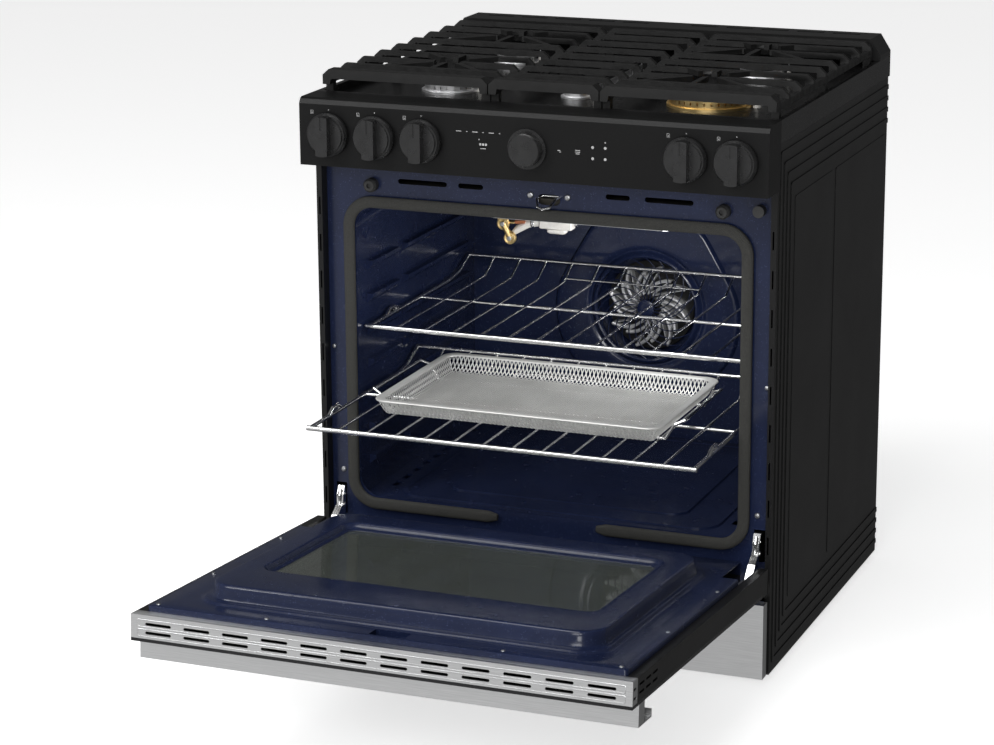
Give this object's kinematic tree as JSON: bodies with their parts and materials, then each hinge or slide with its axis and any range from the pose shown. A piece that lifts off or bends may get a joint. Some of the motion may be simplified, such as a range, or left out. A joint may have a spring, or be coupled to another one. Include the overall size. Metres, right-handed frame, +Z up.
{
  "type": "freestanding gas range",
  "caption": "Freestanding slide-in gas range with cast grates, front controls, convection oven with sliding wire racks and mesh tray, drop-down door and bottom drawer.",
  "frame": {"origin": "on the floor under the range, at the centre of its width and 330 mm in front of its back edge", "axes": "+X to the right seen from the front, +Y towards the back (the door opens towards -Y), +Z up"},
  "size_m": [0.76, 1.2985, 0.921],
  "materials": {
    "body_black": "satin black enamel",
    "blue_enamel": "dark blue speckled gloss enamel",
    "stainless": "fine brushed",
    "chrome_wire": "bright",
    "cast_iron": "matte black",
    "zinc": "zinc plated sheet",
    "burner_alloy": "cast, bead blasted",
    "brass": "machined",
    "black_glass": "black glass, glossy",
    "window_glass": "tinted",
    "white_ceramic": "unglazed",
    "gasket_fibre": "woven fibreglass over wire",
    "rubber_black": "matte",
    "wool": "mineral wool",
    "board": "circuit board",
    "knob_black": "satin black",
    "mesh_steel": "perforated sheet"
  },
  "bodies": {
    "body": {"side_panel_left": "body_black", "side_panel_right": "body_black", "rear_panel": "zinc", "base_frame": "body_black", "front_frame": "blue_enamel", "oven_liner": "blue_enamel", "fan_cover": "blue_enamel", "oven_floor": "blue_enamel", "oven_gasket": "gasket_fibre", "cooktop_pan": "body_black", "rear_vent_trim": "body_black", "control_fascia": "body_black", "oven_burners": "zinc", "broil_igniter": "white_ceramic", "insulation": "wool", "rack_runners": "blue_enamel", "fan_motor": "zinc", "control_board": "board", "burner_heads": "burner_alloy", "brass_burner": "brass", "burner_caps": "cast_iron", "gas_manifold": "zinc", "door_bumpers": "rubber_black", "gas_regulator": "zinc", "hinge_arms": "chrome_wire", "drawer_rails": "zinc"},
    "door": {"door_inner_panel": "blue_enamel", "door_inner_glass": "window_glass", "door_outer_glass": "black_glass", "door_side_trims": "body_black", "door_top_trim": "stainless", "door_handle": "stainless", "door_hinges": "zinc"},
    "drawer": {"drawer_front": "stainless", "drawer_box": "zinc"},
    "lower_rack": {"lower_rack": "chrome_wire"},
    "upper_rack": {"upper_rack": "chrome_wire"},
    "tray": {"air_fry_tray": "mesh_steel", "tray_carrier": "chrome_wire"},
    "dial": {"selector_dial": "knob_black"},
    "fan": {"convection_fan": "chrome_wire"},
    "door_switch": {"door_switch_button": "rubber_black"},
    "latch": {"latch_hook": "chrome_wire"},
    "grate_left": {"grate_left": "cast_iron"},
    "grate_centre": {"grate_centre": "cast_iron"},
    "grate_right": {"grate_right": "cast_iron"},
    "stem_left_front": {"stem_left_front": "zinc"},
    "knob_left_front": {"knob_left_front": "knob_black"},
    "stem_left_rear": {"stem_left_rear": "zinc"},
    "knob_left_rear": {"knob_left_rear": "knob_black"},
    "stem_centre": {"stem_centre": "zinc"},
    "knob_centre": {"knob_centre": "knob_black"},
    "stem_right_rear": {"stem_right_rear": "zinc"},
    "knob_right_rear": {"knob_right_rear": "knob_black"},
    "stem_right_front": {"stem_right_front": "zinc"},
    "knob_right_front": {"knob_right_front": "knob_black"},
    "leg_front_left": {"leg_front_left": "knob_black"},
    "leg_front_right": {"leg_front_right": "knob_black"},
    "leg_rear_left": {"leg_rear_left": "knob_black"},
    "leg_rear_right": {"leg_rear_right": "knob_black"}
  },
  "joints": [
    {"name": "door_hinge", "type": "hinge", "parent": "body", "child": "door", "pos_m": [0, -0.3575, 0.162], "axis": [1, 0, 0], "range_deg": [-85.94, 0]},
    {"name": "lower_rack_slide", "type": "slide", "parent": "body", "child": "lower_rack", "axis": [0, 1, 0], "range_m": [0, 0.2281]},
    {"name": "upper_rack_slide", "type": "slide", "parent": "body", "child": "upper_rack", "axis": [0, -1, 0], "range_m": [0, 0.28]},
    {"name": "tray_lift", "type": "slide", "parent": "lower_rack", "child": "tray", "axis": [0, 0, 1], "range_m": [0, 0.05]},
    {"name": "drawer_slide", "type": "slide", "parent": "body", "child": "drawer", "axis": [0, -1, 0], "range_m": [0, 0.38]},
    {"name": "push_left_front", "type": "slide", "parent": "body", "child": "stem_left_front", "axis": [0, 1, 0], "range_m": [0, 0.003], "stiffness_N_per_m": 400, "springref_m": -0.001},
    {"name": "turn_left_front", "type": "hinge", "parent": "stem_left_front", "child": "knob_left_front", "pos_m": [-0.33, -0.38, 0.8305], "axis": [0, -1, 0], "range_deg": [0, 230]},
    {"name": "push_left_rear", "type": "slide", "parent": "body", "child": "stem_left_rear", "axis": [0, 1, 0], "range_m": [0, 0.003], "stiffness_N_per_m": 400, "springref_m": -0.001},
    {"name": "turn_left_rear", "type": "hinge", "parent": "stem_left_rear", "child": "knob_left_rear", "pos_m": [-0.252, -0.38, 0.8305], "axis": [0, -1, 0], "range_deg": [0, 230]},
    {"name": "push_centre", "type": "slide", "parent": "body", "child": "stem_centre", "axis": [0, 1, 0], "range_m": [0, 0.003], "stiffness_N_per_m": 400, "springref_m": -0.001},
    {"name": "turn_centre", "type": "hinge", "parent": "stem_centre", "child": "knob_centre", "pos_m": [-0.174, -0.38, 0.8305], "axis": [0, -1, 0], "range_deg": [0, 230]},
    {"name": "push_right_rear", "type": "slide", "parent": "body", "child": "stem_right_rear", "axis": [0, 1, 0], "range_m": [0, 0.003], "stiffness_N_per_m": 400, "springref_m": -0.001},
    {"name": "turn_right_rear", "type": "hinge", "parent": "stem_right_rear", "child": "knob_right_rear", "pos_m": [0.252, -0.38, 0.8305], "axis": [0, -1, 0], "range_deg": [0, 230]},
    {"name": "push_right_front", "type": "slide", "parent": "body", "child": "stem_right_front", "axis": [0, 1, 0], "range_m": [0, 0.003], "stiffness_N_per_m": 400, "springref_m": -0.001},
    {"name": "turn_right_front", "type": "hinge", "parent": "stem_right_front", "child": "knob_right_front", "pos_m": [0.33, -0.38, 0.8305], "axis": [0, -1, 0], "range_deg": [0, 230]},
    {"name": "dial_turn", "type": "hinge", "parent": "body", "child": "dial", "pos_m": [0, -0.38, 0.829], "axis": [0, -1, 0], "continuous": true},
    {"name": "fan_spin", "type": "hinge", "parent": "body", "child": "fan", "pos_m": [0, 0.21, 0.449], "axis": [0, -1, 0], "continuous": true},
    {"name": "door_switch_press", "type": "slide", "parent": "body", "child": "door_switch", "axis": [0, 1, 0], "range_m": [0, 0.004], "stiffness_N_per_m": 300, "springref_m": -0.001},
    {"name": "latch_travel", "type": "slide", "parent": "body", "child": "latch", "axis": [0, 1, 0], "range_m": [0, 0.01]},
    {"name": "grate_lift_left", "type": "slide", "parent": "body", "child": "grate_left", "axis": [0, 0, 1], "range_m": [0, 0.12]},
    {"name": "grate_lift_centre", "type": "slide", "parent": "body", "child": "grate_centre", "axis": [0, 0, 1], "range_m": [0, 0.12]},
    {"name": "grate_lift_right", "type": "slide", "parent": "body", "child": "grate_right", "axis": [0, 0, 1], "range_m": [0, 0.12]},
    {"name": "level_front_left", "type": "slide", "parent": "body", "child": "leg_front_left", "axis": [0, 0, -1], "range_m": [0, 0.012]},
    {"name": "level_front_right", "type": "slide", "parent": "body", "child": "leg_front_right", "axis": [0, 0, -1], "range_m": [0, 0.012]},
    {"name": "level_rear_left", "type": "slide", "parent": "body", "child": "leg_rear_left", "axis": [0, 0, -1], "range_m": [0, 0.012]},
    {"name": "level_rear_right", "type": "slide", "parent": "body", "child": "leg_rear_right", "axis": [0, 0, -1], "range_m": [0, 0.012]}
  ],
  "couplings": [
    {"joint": "lower_rack_slide", "follows": "door_hinge", "m_per_rad": -0.15201}
  ]
}
